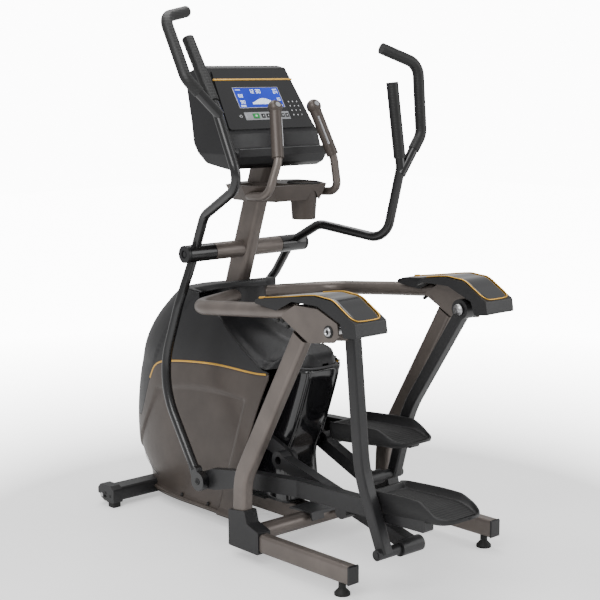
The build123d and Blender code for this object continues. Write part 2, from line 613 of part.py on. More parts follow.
def power_inlet():
    """Low voltage socket in the casing's nose."""
    body = Pos(60, 468, 118) * Box(24, 12, 20) - Pos(60, 474, 118) * Rot(90, 0, 0) * Cylinder(4, 12)
    return body + Pos(60, 474, 118) * Rot(90, 0, 0) * Cylinder(1, 10)


# ---- console ----
FACE_LENGTH = hypot(FACE_TOP[0] - FACE_FOOT[0], FACE_TOP[1] - FACE_FOOT[1])
FACE_UP = ((FACE_TOP[0] - FACE_FOOT[0]) / FACE_LENGTH, (FACE_TOP[1] - FACE_FOOT[1]) / FACE_LENGTH)
FACE = Plane(origin=(0, (FACE_TOP[0] + FACE_FOOT[0]) / 2, (FACE_TOP[1] + FACE_FOOT[1]) / 2),
             x_dir=(1, 0, 0), z_dir=(0, -FACE_UP[1], FACE_UP[0]))
DISPLAY_AT, DISPLAY_SIZE = (-8.0, 8.0), (200.0, 77.0)      # on the face: across, and up the slope
KEY_BAR_AT, KEY_BAR_SIZE = (-1.0, -63.0), (200.0, 30.0)
START_KEY, START_KEY_SIZE = (-52.0, -63.0), (26.0, 18.0)
KEYPAD_AT, KEYPAD_SIZE = (136.0, -38.0), (62.0, 74.0)
KEY_PITCH = (19.0, 17.5)


def console_housing():
    """Rear casing: its side profile crossed with the front outline."""
    profile = [(-12, 1580), (30, 1588), (88, 1564), (96, 1530), (22, 1330), (-40, 1264), (-150, 1247), (-178, 1262),
               (-190, 1292), (-158, 1306), (-150, 1364)]
    side_face = make_face(FilletPolyline(*[(0, y, z) for y, z in profile],
                                         radius=[4, 14, 20, 30, 60, 30, 14, 12, 3, 8, 4], close=True))
    body = extrude(side_face, amount=216, dir=(1, 0, 0), both=True)
    hollow = extrude(offset(side_face, amount=-SKIN), amount=216, dir=(1, 0, 0), both=True)
    front = [(-172, 1600), (172, 1600), (196, 1400), (214, 1300), (196, 1240), (-196, 1240), (-214, 1300),
             (-196, 1400)]
    outline = FilletPolyline(*[(x, -300, z) for x, z in front], radius=16, close=True)
    body &= extrude(make_face(outline), amount=500, dir=(0, 1, 0))
    body -= hollow & extrude(offset(make_face(outline), amount=-SKIN), amount=500, dir=(0, 1, 0))
    body -= post_clearance()
    body -= FACE * Box(300, 190, 60)
    return body


def console_face():
    """Black front panel, with pockets for display and keys."""
    outline = [(-168, 118), (168, 118), (190, -112), (-190, -112)]
    glass = extrude(FACE * make_face(FilletPolyline(*[(x, y) for x, y in outline], radius=10, close=True)), amount=5)
    for place, (wide, high) in ((DISPLAY_AT, DISPLAY_SIZE), (KEY_BAR_AT, KEY_BAR_SIZE)):
        glass -= FACE * Pos(*place, 4) * Box(wide + 2, high + 2, 4)
    return glass


def display():
    return FACE * Pos(*DISPLAY_AT, 3.5) * Box(*DISPLAY_SIZE, 3)


def key_bar():
    wide, high = START_KEY_SIZE
    bar_plate = FACE * Pos(*KEY_BAR_AT, 3.5) * Box(*KEY_BAR_SIZE, 3)
    return bar_plate - FACE * Pos(*START_KEY, 7.5) * Box(wide + 1, high + 1, 10)


def keypad():
    """Raised number pad, three keys by four, moulded in one piece."""
    x, y = KEYPAD_AT
    pad = FACE * Pos(x, y, 5.6) * Box(*KEYPAD_SIZE, 1.2)
    for row in range(4):
        for column in range(3):
            pad += FACE * Pos(x + (column - 1) * KEY_PITCH[0], y + (row - 1.5) * KEY_PITCH[1], 6.6) * Box(14, 12, 1.4)
    return pad


def start_key():
    return FACE * Pos(*START_KEY, 5.3) * Box(*START_KEY_SIZE, 3.0)


def reading_rack():
    """Ledge below the face with an upturned lip."""
    outline = [(-152, 1320), (-196, 1302), (-200, 1318), (-206, 1316), (-200, 1290), (-193, 1291), (-157, 1307)]
    return slab(outline, 1.2, -196, 196) - console_housing()


# ---- tray, cup and pulse bars ----
def tray():
    """Faceted tray behind the mast, with a pocket each side and a hole for the cup."""
    top = [(-60, -30), (-165, -90), (-172, -180), (-120, -285), (120, -285), (172, -180), (165, -90), (60, -30)]
    low = [(0.82 * x, 0.9 * y - 16) for x, y in top]
    upper = make_face(Polyline(*[(x, y, TRAY_TOP) for x, y in top], close=True))
    lower = make_face(Polyline(*[(x, y, TRAY_BOTTOM) for x, y in low], close=True))
    body = loft([lower, upper])
    pocket = [(-148, -110), (-152, -178), (-108, -266), (-6, -266), (-6, -140), (-50, -96)]
    body -= plate(pocket, 10, TRAY_TOP - POCKET_DEEP, TRAY_TOP + 1)
    body -= post_clearance()
    body -= Pos(*CUP_PLACE, 1160) * Cylinder(49.5, 100)
    body -= Pos(*CUP_PLACE, TRAY_TOP) * Cylinder(57, 8)
    for side in SIDES.values():
        body -= to_side(pulse_bar(True), side)
    return body


def cup_holder():
    x, y = CUP_PLACE
    profile = Polyline((0, 1073), (40, 1073), (48.5, 1191), (56, 1191), (56, 1197), (45.5, 1197), (37.5, 1076),
                       (0, 1076), close=True)
    return Pos(x, y, 0) * revolve(Plane.XZ * make_face(profile), axis=Axis.Z)


PULSE_TOP = (87, -255, 1452)
PULSE_FOOT = (126, -313, 1280)


def pulse_bar(solid=False):
    points = [along(PULSE_FOOT, PULSE_TOP, 0.9), PULSE_FOOT, (158, -300, 1166), (142, -180, 1160), (25, -72, 1160)]
    return bar(points, [60, 44, 60], 14, 0 if solid else 11.5)


def pulse_bars():
    return [to_side(pulse_bar() - Pos(0, -80, 1165) * Box(50, 200, 100), side) for side in SIDES.values()]


BUTTON_AXIS = (0.0, -0.8, 0.6)


def button_plane():
    return Plane(origin=PULSE_TOP, x_dir=(1, 0, 0), z_dir=BUTTON_AXIS)


def pulse_grip(side):
    """Moulded grip on the fixed bar, with a flat-faced head for the thumb button."""
    grip = bar([along(PULSE_FOOT, PULSE_TOP, 0.06), PULSE_TOP], 0, 20)
    grip += Pos(*PULSE_TOP) * Sphere(25)
    grip -= bar([along(PULSE_FOOT, PULSE_TOP, -0.1), along(PULSE_FOOT, PULSE_TOP, 0.9)], 0, 14)
    grip &= button_plane() * Pos(0, 0, -282) * Box(400, 500, 600)
    grip -= button_plane() * Pos(0, 0, 14) * Cylinder(9.3, 12)
    return to_side(max(grip.solids(), key=lambda s: s.volume), side)


def thumb_button(side):
    return to_side(button_plane() * Pos(0, 0, 15) * Cylinder(9, 9), side)


# ---- write the nodes ----
def pair(piece):
    return [piece(side) for side in SIDES.values()]


SKIN_SHELL = casing()
SINGLE = {
    "front_stabilizer": front_stabilizer, "base_spine": base_spine, "rear_cross_tube": rear_cross_tube,
    "upper_frame_tube": upper_frame_tube, "mast": mast, "pivot_axle": pivot_axle, "crank": crank,
    "crank_pulley": crank_pulley, "flywheel": flywheel, "flywheel_axle": flywheel_axle, "drive_belt": drive_belt,
    "drive_frame": drive_frame, "brake_magnet": brake_magnet,
    "floor_cover": floor_cover, "power_inlet": power_inlet, "console_housing": console_housing,
    "console_face": console_face, "display": display, "key_bar": key_bar, "keypad": keypad,
    "start_key": start_key, "reading_rack": reading_rack, "tray": tray, "cup_holder": cup_holder,
}
PAIRS = {
    "front_end_caps": front_cap, "wheel_axles": wheel_axle, "front_feet": front_foot,
    "side_frame_plugs": side_frame_plug, "rear_feet": rear_foot, "boots": boot,
    "shoulder_brackets": shoulder_bracket, "pivot_caps": pivot_cap, "shoulder_axles": shoulder_axle,
    "shoulder_pads": shoulder_pad, "crank_bearings": crank_bearing, "pulse_grips": pulse_grip,
    "side_frames": side_frame, "shoulder_covers": shoulder_cover,
}
HANDED = {
    "transport_wheel": transport_wheel,
    "handlebar": handlebar, "straight_grip": straight_grip, "loop_grip": loop_grip, "pedal_beam": pedal_beam,
    "pedal": pedal, "support_link": support_link, "swing_arm": swing_arm, "thumb_button": thumb_button,
}
for name, piece in SINGLE.items():
    save(name, piece())
for name, piece in PAIRS.items():
    save(name, *pair(piece))
for name, piece in HANDED.items():
    for word, side in SIDES.items():
        save(f"{name}_{word}", piece(side))
save("pulse_bars", *pulse_bars())
save("upper_shroud", upper_shroud(SKIN_SHELL))
save("rear_shroud", rear_shroud(SKIN_SHELL))
save("side_covers", *[side_cover(SKIN_SHELL, side) for side in SIDES.values()])
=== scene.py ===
import json
from math import cos, pi, radians, sin, sqrt

import bmesh
import bpy
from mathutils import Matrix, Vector


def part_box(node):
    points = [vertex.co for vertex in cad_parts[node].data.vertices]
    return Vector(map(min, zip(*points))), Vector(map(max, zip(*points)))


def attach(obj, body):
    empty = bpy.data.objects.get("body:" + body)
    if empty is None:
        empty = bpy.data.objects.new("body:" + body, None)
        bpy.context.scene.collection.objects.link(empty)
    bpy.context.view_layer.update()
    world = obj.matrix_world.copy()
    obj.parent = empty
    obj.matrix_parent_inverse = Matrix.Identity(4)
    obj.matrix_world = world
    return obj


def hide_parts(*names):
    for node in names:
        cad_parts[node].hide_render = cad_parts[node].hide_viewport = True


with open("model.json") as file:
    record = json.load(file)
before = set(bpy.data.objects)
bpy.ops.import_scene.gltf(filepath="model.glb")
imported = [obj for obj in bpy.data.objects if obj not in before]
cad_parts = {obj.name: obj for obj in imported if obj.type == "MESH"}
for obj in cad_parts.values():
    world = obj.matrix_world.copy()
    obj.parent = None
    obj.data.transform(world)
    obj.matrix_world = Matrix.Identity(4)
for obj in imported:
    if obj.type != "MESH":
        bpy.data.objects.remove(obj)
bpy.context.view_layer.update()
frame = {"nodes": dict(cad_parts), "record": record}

# ---- places: mm, measured across from the middle, along from the handlebar axis, and up from the floor ----
_low, _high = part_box("pivot_axle")
PIVOT_Y = (_low.y + _high.y) / 2
SIDES = {"left": -1, "right": 1}


def at(x, y, z):
    """A place in metres from mm measured from the handlebar axis."""
    return Vector((x / 1000, PIVOT_Y + y / 1000, z / 1000))


def smooth(low, high, value):
    t = min(1.0, max(0.0, (value - low) / (high - low)))
    return t * t * (3 - 2 * t)


def follow(points, value):
    """A smooth curve through (value, result) points, held level past its ends."""
    if value <= points[0][0]:
        return points[0][1]
    if value >= points[-1][0]:
        return points[-1][1]
    for i in range(len(points) - 1):
        (a, fa), (b, fb) = points[i], points[i + 1]
        if value > b:
            continue
        before = points[i - 1] if i else (2 * a - b, 2 * fa - fb)
        after = points[i + 2] if i + 2 < len(points) else (2 * b - a, 2 * fb - fa)
        slope_a = (fb - before[1]) / (b - before[0]) * (b - a)
        slope_b = (after[1] - fa) / (after[0] - a) * (b - a)
        t = (value - a) / (b - a)
        return ((2 * t ** 3 - 3 * t ** 2 + 1) * fa + (t ** 3 - 2 * t ** 2 + t) * slope_a
                + (3 * t ** 2 - 2 * t ** 3) * fb + (t ** 3 - t ** 2) * slope_b)
    return points[-1][1]


# ---- materials ----
def new_material(name, roughness, metallic=0.0, coat=0.0, specular=0.5):
    material = bpy.data.materials.new(name)
    material.use_nodes = True
    shader = material.node_tree.nodes["Principled BSDF"]
    shader.inputs["Roughness"].default_value = roughness
    shader.inputs["Metallic"].default_value = metallic
    shader.inputs["Coat Weight"].default_value = coat
    shader.inputs["Coat Roughness"].default_value = 0.12
    shader.inputs["Specular IOR Level"].default_value = specular
    return material, material.node_tree, shader


def noise(tree, scale, detail=3.0, stretch=None):
    """Noise in the object's own space, so its size is real: scale is in grains per metre."""
    place = tree.nodes.new("ShaderNodeTexCoord")
    texture = tree.nodes.new("ShaderNodeTexNoise")
    texture.inputs["Scale"].default_value = scale
    texture.inputs["Detail"].default_value = detail
    if stretch:
        mapping = tree.nodes.new("ShaderNodeMapping")
        mapping.inputs["Scale"].default_value = stretch
        tree.links.new(place.outputs["Object"], mapping.inputs["Vector"])
        tree.links.new(mapping.outputs["Vector"], texture.inputs["Vector"])
    else:
        tree.links.new(place.outputs["Object"], texture.inputs["Vector"])
    return texture


def tint(tree, shader, texture, dark, light):
    ramp = tree.nodes.new("ShaderNodeValToRGB")
    ramp.color_ramp.elements[0].position = 0.35
    ramp.color_ramp.elements[1].position = 0.65
    ramp.color_ramp.elements[0].color = (*dark, 1)
    ramp.color_ramp.elements[1].color = (*light, 1)
    tree.links.new(texture.outputs["Fac"], ramp.inputs["Fac"])
    tree.links.new(ramp.outputs["Color"], shader.inputs["Base Color"])


def gloss_range(tree, shader, texture, low, high):
    spread = tree.nodes.new("ShaderNodeMapRange")
    spread.inputs["To Min"].default_value = low
    spread.inputs["To Max"].default_value = high
    tree.links.new(texture.outputs["Fac"], spread.inputs["Value"])
    tree.links.new(spread.outputs["Result"], shader.inputs["Roughness"])


def relief(tree, shader, texture, depth, strength):
    bump = tree.nodes.new("ShaderNodeBump")
    bump.inputs["Distance"].default_value = depth
    bump.inputs["Strength"].default_value = strength
    tree.links.new(texture.outputs["Fac"], bump.inputs["Height"])
    tree.links.new(bump.outputs["Normal"], shader.inputs["Normal"])


def finish(name, colour, roughness, grain=0.0, depth=0.0, spread=0.12, gloss=0.05, **shader_values):
    """A painted or moulded surface: fine grain, a slow drift in colour, and patches of gloss."""
    material, tree, shader = new_material(name, roughness, **shader_values)
    drift = noise(tree, 9.0, 5.0)
    dark = [c * (1 - spread) for c in colour]
    light = [c * (1 + spread) for c in colour]
    tint(tree, shader, drift, dark, light)
    gloss_range(tree, shader, noise(tree, 35.0, 4.0), roughness - gloss, roughness + gloss)
    if grain:
        relief(tree, shader, noise(tree, grain, 2.0), depth, 0.6)
    return material


def brushed(name, colour, roughness):
    """Turned or brushed metal, with fine marks along X."""
    material, tree, shader = new_material(name, roughness, metallic=1.0)
    marks = noise(tree, 60.0, 6.0, stretch=(2.0, 40.0, 40.0))
    tint(tree, shader, marks, [c * 0.85 for c in colour], colour)
    gloss_range(tree, shader, marks, roughness - 0.06, roughness + 0.1)
    relief(tree, shader, marks, 0.0001, 0.4)
    return material


def ribbed(name, colour, roughness, ribs, depth):
    """Soft grip skin with close bands across the bar, over a fine grain."""
    material, tree, shader = new_material(name, roughness)
    drift = noise(tree, 14.0, 4.0)
    tint(tree, shader, drift, [c * 0.8 for c in colour], [c * 1.2 for c in colour])
    gloss_range(tree, shader, noise(tree, 60.0, 3.0), roughness - 0.08, roughness + 0.06)
    place = tree.nodes.new("ShaderNodeTexCoord")
    wave = tree.nodes.new("ShaderNodeTexWave")
    wave.bands_direction = "Z"
    wave.inputs["Scale"].default_value = ribs
    wave.inputs["Distortion"].default_value = 0.2
    tree.links.new(place.outputs["Object"], wave.inputs["Vector"])
    relief(tree, shader, wave, depth, 0.7)
    return material


BRONZE_PAINT = finish("bronze_paint", (0.150, 0.128, 0.115), 0.40, 1600, 0.00012, metallic=0.55, coat=0.15)
BRONZE_PLASTIC = finish("bronze_plastic", (0.072, 0.058, 0.050), 0.42, 1300, 0.00012, metallic=0.35, coat=0.1)
BLACK_PAINT = finish("black_paint", (0.013, 0.013, 0.014), 0.42, 900, 0.0003, metallic=0.1, coat=0.1)
TUBE_PAINT = finish("black_tube_paint", (0.006, 0.006, 0.0065), 0.26, 1500, 0.00006, coat=0.4)
BLACK_PLASTIC = finish("black_plastic", (0.009, 0.009, 0.010), 0.40, 1100, 0.00018)
SHROUD_PLASTIC = finish("shroud_plastic", (0.014, 0.014, 0.015), 0.40, 1200, 0.00015, metallic=0.15)
PEDAL_PLASTIC = finish("pedal_plastic", (0.007, 0.007, 0.0075), 0.50, 800, 0.0003)
GREY_PLASTIC = finish("grey_plastic", (0.040, 0.040, 0.042), 0.45, 1000, 0.0002)
GLOSS_BLACK = finish("gloss_black", (0.006, 0.006, 0.007), 0.14, gloss=0.03, coat=0.6)
GOLD = finish("gold_trim", (0.75, 0.42, 0.06), 0.30, 1800, 0.00004, metallic=0.7, coat=0.3)
RUBBER = finish("rubber", (0.006, 0.006, 0.006), 0.65, 700, 0.0003)
GRIP = ribbed("grip_rubber", (0.007, 0.007, 0.007), 0.50, 34.0, 0.0004)
WHEEL = finish("wheel_urethane", (0.03, 0.03, 0.03), 0.5, 500, 0.0003)
BELT = ribbed("belt_rubber", (0.015, 0.015, 0.015), 0.6, 60.0, 0.0004)
STEEL = brushed("machined_steel", (0.55, 0.55, 0.56), 0.32)
CHROME = brushed("chrome", (0.55, 0.55, 0.57), 0.18)
IRON = brushed("cast_iron", (0.25, 0.25, 0.26), 0.45)
SILVER = finish("key_silver", (0.42, 0.43, 0.45), 0.34, 1500, 0.00003, metallic=0.6)
GREEN = finish("key_green", (0.01, 0.24, 0.05), 0.35, 900, 0.00005)
INK = finish("white_print", (0.75, 0.76, 0.78), 0.45, 900, 0.00002)


def lit_display():
    """Blue back-lit glass, brighter in the middle."""
    material, tree, shader = new_material("lcd_blue", 0.18, coat=0.5)
    glow = noise(tree, 6.0, 1.0)
    tint(tree, shader, glow, (0.001, 0.012, 0.26), (0.002, 0.028, 0.42))
    shader.inputs["Emission Color"].default_value = (0.0, 0.03, 0.75, 1)
    shader.inputs["Emission Strength"].default_value = 0.35
    return material


def lit_digits():
    material, tree, shader = new_material("lcd_digits", 0.3)
    tint(tree, shader, noise(tree, 40.0, 2.0), (0.7, 0.8, 0.95), (0.85, 0.92, 1.0))
    shader.inputs["Emission Color"].default_value = (0.7, 0.85, 1.0, 1)
    shader.inputs["Emission Strength"].default_value = 0.9
    return material


LCD = lit_display()
DIGITS = lit_digits()

SLOT_MATERIALS = {
    "frame_bronze": BRONZE_PAINT, "frame_black": BLACK_PAINT, "cover_black": BLACK_PLASTIC,
    "cover_bronze": BRONZE_PLASTIC, "gloss_black": GLOSS_BLACK, "rubber_black": RUBBER, "grip_rubber": GRIP,
    "wheel_plastic": WHEEL, "steel": STEEL, "chrome": CHROME, "cast_iron": IRON, "belt_rubber": BELT,
    "lcd": LCD, "key_silver": SILVER, "key_green": GREEN, "tray_bronze": BRONZE_PLASTIC,
    "grey_plastic": GREY_PLASTIC,
}
NODE_MATERIALS = {
    "handlebar_left": TUBE_PAINT, "handlebar_right": TUBE_PAINT, "pedal_left": PEDAL_PLASTIC,
    "pedal_right": PEDAL_PLASTIC, "pulse_bars": BRONZE_PAINT,
}


def paint_frame():
    """Each CAD node gets its finish."""
    slots = {part["node"]: part["material_slot"] for part in frame["record"]["subparts"]}
    for name, node in frame["nodes"].items():
        material = NODE_MATERIALS.get(name, SLOT_MATERIALS[slots[name]])
        if not node.data.materials:
            node.data.materials.append(material)
        for slot in node.material_slots:
            slot.material = material


# ---- making pieces ----
def piece(name, mesh_or_curve, material, body="frame", replaces=()):
    """A visual piece that rides on a body. Gold trim has no slot of its own in the record."""
    obj = bpy.data.objects.new(name, mesh_or_curve)
    bpy.context.scene.collection.objects.link(obj)
    obj.data.materials.append(material)
    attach(obj, body)
    if replaces:
        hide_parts(*replaces)
    return obj


def thicken(obj, mm):
    modifier = obj.modifiers.new("wall", "SOLIDIFY")
    modifier.thickness = mm / 1000
    modifier.offset = -1.0


def round_edges(obj, mm, segments=3, angle=30):
    modifier = obj.modifiers.new("edges", "BEVEL")
    modifier.width = mm / 1000
    modifier.segments = segments
    modifier.limit_method = "ANGLE"
    modifier.angle_limit = radians(angle)
    modifier.harden_normals = False


def sheet_mesh(name, rows, mirrored=False):
    """A grid of places as a mesh. A mirrored one is turned over, so that its faces still look outwards."""
    mesh = bmesh.new()
    grid = [[mesh.verts.new(place) for place in row] for row in rows]
    for upper, lower in zip(grid, grid[1:]):
        for i in range(len(upper) - 1):
            corners = [upper[i], upper[i + 1], lower[i + 1], lower[i]]
            mesh.faces.new(corners[::-1] if mirrored else corners)
    bmesh.ops.remove_doubles(mesh, verts=mesh.verts, dist=0.00002)
    for face in mesh.faces:
        face.smooth = True
    data = bpy.data.meshes.new(name)
    mesh.to_mesh(data)
    mesh.free()
    return data


def prism_mesh(name, outline, x0, x1):
    """A side-view outline of (y, z) points carried across from x0 to x1."""
    mesh = bmesh.new()
    first = [mesh.verts.new(at(x0, y, z)) for y, z in outline]
    last = [mesh.verts.new(at(x1, y, z)) for y, z in outline]
    mesh.faces.new(first)
    mesh.faces.new(last[::-1])
    count = len(outline)
    for i in range(count):
        j = (i + 1) % count
        mesh.faces.new([first[j], first[i], last[i], last[j]])
    bmesh.ops.recalc_face_normals(mesh, faces=mesh.faces)
    data = bpy.data.meshes.new(name)
    mesh.to_mesh(data)
    mesh.free()
    for polygon in data.polygons:
        polygon.use_smooth = True
    return data


def line_curve(name, places, radius_mm):
    """A smooth round bead along places."""
    data = bpy.data.curves.new(name, "CURVE")
    data.dimensions = "3D"
    data.bevel_depth = radius_mm / 1000
    data.bevel_resolution = 3
    data.use_fill_caps = True
    spline = data.splines.new("NURBS")
    spline.points.add(len(places) - 1)
    for point, place in zip(spline.points, places):
        point.co = (*place, 1)
    spline.order_u = 3
    spline.use_endpoint_u = True
    spline.resolution_u = 6
    return data


# ---- casing ----
WALL = 4.0
COVER_FOOT = 34.0
NOSE_START = 130.0
NOSE_CURVE = [(34, 482), (90, 488), (160, 545), (247, 562), (361, 557), (487, 528), (632, 456), (767, 317),
              (806, 236)]
WIDTH_CURVE = [(34, 165), (120, 166), (300, 168), (560, 168), (680, 158), (790, 130), (880, 112)]
BACK_START = -250.0
BACK_END = -408.0
ROUNDNESS = 2.4
GOLD_LINE = [(-330, 578), (-241, 571), (-52, 571), (109, 559), (240, 540), (310, 520), (350, 486), (446, 305),
             (470, 300)]
GOLD_END = 470
PANEL_TOP = 482
PANEL_STEP = 8
BACK_EDGE = [(34, -112), (219, -160), (400, -236), (560, -306)]


def half_width(z):
    return follow(WIDTH_CURVE, z)


def nose(z):
    return follow(NOSE_CURVE, z)


def casing_x(y, z):
    """The casing's half width at a place on its side, rounding off to the nose and to the back."""
    width = half_width(z)
    if y > NOSE_START:
        share = min(1.0, (y - NOSE_START) / (nose(z) - NOSE_START))
    elif y < BACK_START:
        share = min(1.0, (BACK_START - y) / (BACK_START - BACK_END))
    else:
        share = 0.0
    return width * max(0.0, 1 - share ** ROUNDNESS) ** (1 / ROUNDNESS)


def gold_height(y):
    return follow(GOLD_LINE, y)


def panel_top(y):
    return PANEL_TOP - 0.00035 * (y + 60) ** 2


def panel_back(z):
    return -199 + (479 - z) * 0.358


def panel_depth(y, z):
    """How far inside the side cover's inner panel a place lies, negative outside it."""
    front = (430 - y) * 0.80 - (z - 273) * 0.60
    return min(panel_top(y) - z, y - panel_back(z), front)


def side_cover(word, side):
    """The bronze cover under the gold line, with its panel pressed in and its foot flared."""
    columns, rows = 90, 70
    grid = []
    for r in range(rows + 1):
        row = []
        for c in range(columns + 1):
            share = c / columns
            z = COVER_FOOT + (540 - COVER_FOOT) * r / rows
            for _ in range(6):
                y = column_y(share, z)
                z_high = gold_height(min(y, GOLD_END)) - 2
                z = COVER_FOOT + (z_high - COVER_FOOT) * r / rows
            y = column_y(share, z)
            x = casing_x(y, z)
            depth = panel_depth(y, z)
            x_in = x - PANEL_STEP * smooth(0, 12, depth) + 7 * (1 - smooth(46, 58, z))
            row.append(at(side * x_in, y, z))
        grid.append(row)
    obj = piece(f"side_cover_skin_{word}", sheet_mesh(f"side_cover_{word}", grid, side > 0), BRONZE_PLASTIC,
                replaces=["side_covers"])
    thicken(obj, WALL)


def column_y(share, z):
    """Columns run evenly along the flat side, then by angle round the nose."""
    straight = 0.58
    back = follow(BACK_EDGE, z)
    if share <= straight:
        return back + (NOSE_START - back) * share / straight
    angle = (share - straight) / (1 - straight) * pi / 2
    return NOSE_START + (nose(z) - NOSE_START) * sin(angle) ** (2 / ROUNDNESS)


def seam_line(name, places, side, radius, material, lift=0.0):
    curve = line_curve(name, [at(side * (casing_x(y, z) + lift), y, z) for y, z in places], radius)
    return piece(name, curve, material)


TOP_EDGE = [(-306, 578), (-270, 590), (-230, 609), (-120, 674), (-40, 727), (20, 750), (60, 764), (96, 775)]
TOP_MIDDLE = [(-408, 606), (-400, 628), (-386, 642), (-318, 660), (-180, 695), (-40, 728), (96, 765)]
SPINE_TOP = [(96, 800), (190, 806), (236, 800), (330, 764), (420, 690), (520, 520), (560, 380)]
SPINE_EDGE = [(500, 345), (578, 299), (644, 250), (702, 200), (733, 165), (766, 148), (790, 124)]
FLANK_BACK = -306.0


def flank_y(share, z):
    straight = 0.5
    if share <= straight:
        return FLANK_BACK + (NOSE_START - FLANK_BACK) * share / straight
    angle = (share - straight) / (1 - straight) * pi / 2
    return NOSE_START + (nose(z) - NOSE_START) * sin(angle) ** (2 / ROUNDNESS)


def flank_top(y):
    return follow(TOP_EDGE, y) if y < 96 else follow(SPINE_TOP, y)


def flank_x(y, z):
    """The black flank: the casing's own shape, with the spine standing a little proud in front."""
    spine = 6 * smooth(-2, 5, y - follow(SPINE_EDGE, z)) * smooth(480, 580, z)
    return casing_x(y, z) + spine


def upper_flank(word, side):
    """The shroud's side above the gold line, from the back round to the nose."""
    columns, rows = 120, 60
    grid = []
    for r in range(rows + 1):
        row = []
        for c in range(columns + 1):
            share = c / columns
            z = 600.0
            for _ in range(8):
                y = flank_y(share, z)
                bottom = gold_height(min(y, GOLD_END))
                top = max(flank_top(y), bottom + 6)
                z = bottom + (top - bottom) * r / rows
            y = flank_y(share, z)
            row.append(at(side * flank_x(y, z), y, z))
        grid.append(row)
    obj = piece(f"upper_shroud_flank_{word}", sheet_mesh(f"flank_{word}", grid, side > 0), SHROUD_PLASTIC,
                replaces=["upper_shroud"])
    thicken(obj, WALL)


def shroud_top():
    """Behind the mast the flanks roll over into a narrow hump that ends in a blunt tail."""
    grid = []
    for i in range(81):
        y = -408 + 504 * (i / 80) ** 1.3
        joined = smooth(-332, -292, y)
        edge = max(follow(TOP_EDGE, y), 592)
        middle = follow(TOP_MIDDLE, y)
        tail = 78 * max(0.0, 1 - max(0.0, (-350 - y) / 59) ** 2.6) ** 0.5
        x_edge = tail + (casing_x(y, edge) - tail) * joined
        row = []
        for j in range(-32, 33):
            share = 1 - abs(j) / 32
            steep = min(1.0, share / 0.2) ** 0.7
            rolled = 0.25 * smooth(0, 0.2, share) + 0.75 * smooth(0.15, 0.85, share)
            rise = steep + (rolled - steep) * joined
            row.append(at(x_edge * j / 32, y, edge + (middle - edge) * rise))
        grid.append(row)
    obj = piece("shroud_top_skin", sheet_mesh("shroud_top", grid), BLACK_PLASTIC)
    thicken(obj, WALL)


def spine_cap():
    """The top of the nose, in front of the mast."""
    grid = []
    for i in range(31):
        y = 96 + (318 - 96) * i / 30
        z = follow(SPINE_TOP, y)
        x_edge = flank_x(y, z)
        grid.append([at(x_edge * j / 12, y, z + 4 * (1 - (j / 12) ** 2)) for j in range(-12, 13)])
    obj = piece("nose_cap_skin", sheet_mesh("nose_cap", grid, True), SHROUD_PLASTIC)
    thicken(obj, WALL)


VISOR_TOP = [(-136, 866), (-60, 855), (10, 843), (85, 827), (175, 808), (236, 800), (262, 780)]
VISOR_UNDER = [(-136, 841), (-35, 829), (60, 811), (112, 790), (124, 764), (262, 764)]
VISOR_HALF = [(-136, 20), (-110, 40), (-62, 64), (0, 89), (50, 104), (110, 112), (262, 112)]
NECK_FLOOR = 700.0


def visor():
    """A peak round the mast, narrowing to its tail."""
    rings = []
    for i in range(61):
        y = -136 + 398 * i / 60
        half = follow(VISOR_HALF, y)
        top, under = follow(VISOR_TOP, y), follow(VISOR_UNDER, y)
        lip = min(6.0, half * 0.3)
        left = [(-half, under), (-half, top - lip), (-half + lip * 0.4, top - lip * 0.3),
                (-half + lip * 1.4, top)]
        right = [(-x, z) for x, z in left[::-1]]
        rings.append([at(x, y, z) for x, z in left + [(0, top + 1.5)] + right + [(0, under - 0.5)]])
    obj = piece("shroud_visor", tube_mesh("visor", rings), SHROUD_PLASTIC)
    round_edges(obj, 1.5, 2, 50)


def neck():
    """The collar under the visor, rounded behind."""
    low, high = [], []
    for i in range(-24, 25):
        angle = pi / 2 * i / 24
        x, y = 75 * sin(angle), 7 - 75 * cos(angle)
        low.append(at(x, y, NECK_FLOOR))
        high.append(at(x, y, follow(VISOR_UNDER, y) + 5))
    for place, line in ((NECK_FLOOR, low), (775.0, high)):
        line.insert(0, at(-75, 190, place))
        line.append(at(75, 190, place))
    piece("shroud_neck", sheet_mesh("neck", [high, low]), BLACK_PLASTIC)


REAR_CURVE = [(112, -306), (200, -296), (285, -292), (371, -332), (454, -364), (560, -400), (590, -403)]


def rear_shroud():
    """Glossy back of the casing between the cranks, with a raised rib down each side."""
    grid = []
    for r in range(41):
        z = 112 + (590 - 112) * r / 40
        back = follow(REAR_CURVE, z)
        row = [at(-77, -120, z)]
        for c in range(49):
            angle = (c / 48 - 0.5) * pi
            x = 77 * abs(sin(angle)) ** 0.42 * (1 if angle > 0 else -1)
            rib = 4 * smooth(60, 66, abs(x)) * (1 - smooth(70, 76, abs(x)))
            row.append(at(x, back + 40 * (1 - cos(angle) ** 0.42) - rib + 4, z))
        row.append(at(77, -120, z))
        grid.append(row)
    obj = piece("rear_shroud_skin", sheet_mesh("rear_shroud", grid, True), GLOSS_BLACK,
                replaces=["rear_shroud"])
    thicken(obj, WALL)


def tail_lip():
    """A pale lip where the hump ends over the glossy back."""
    places = [(78, -300), (78, -360), (70, -392), (45, -405), (0, -408)]
    places += [(-x, y) for x, y in places[-2::-1]]
    curve = line_curve("tail_lip", [at(x, y, 594) for x, y in places], 4.5)
    piece("tail_lip_bead", curve, GREY_PLASTIC)


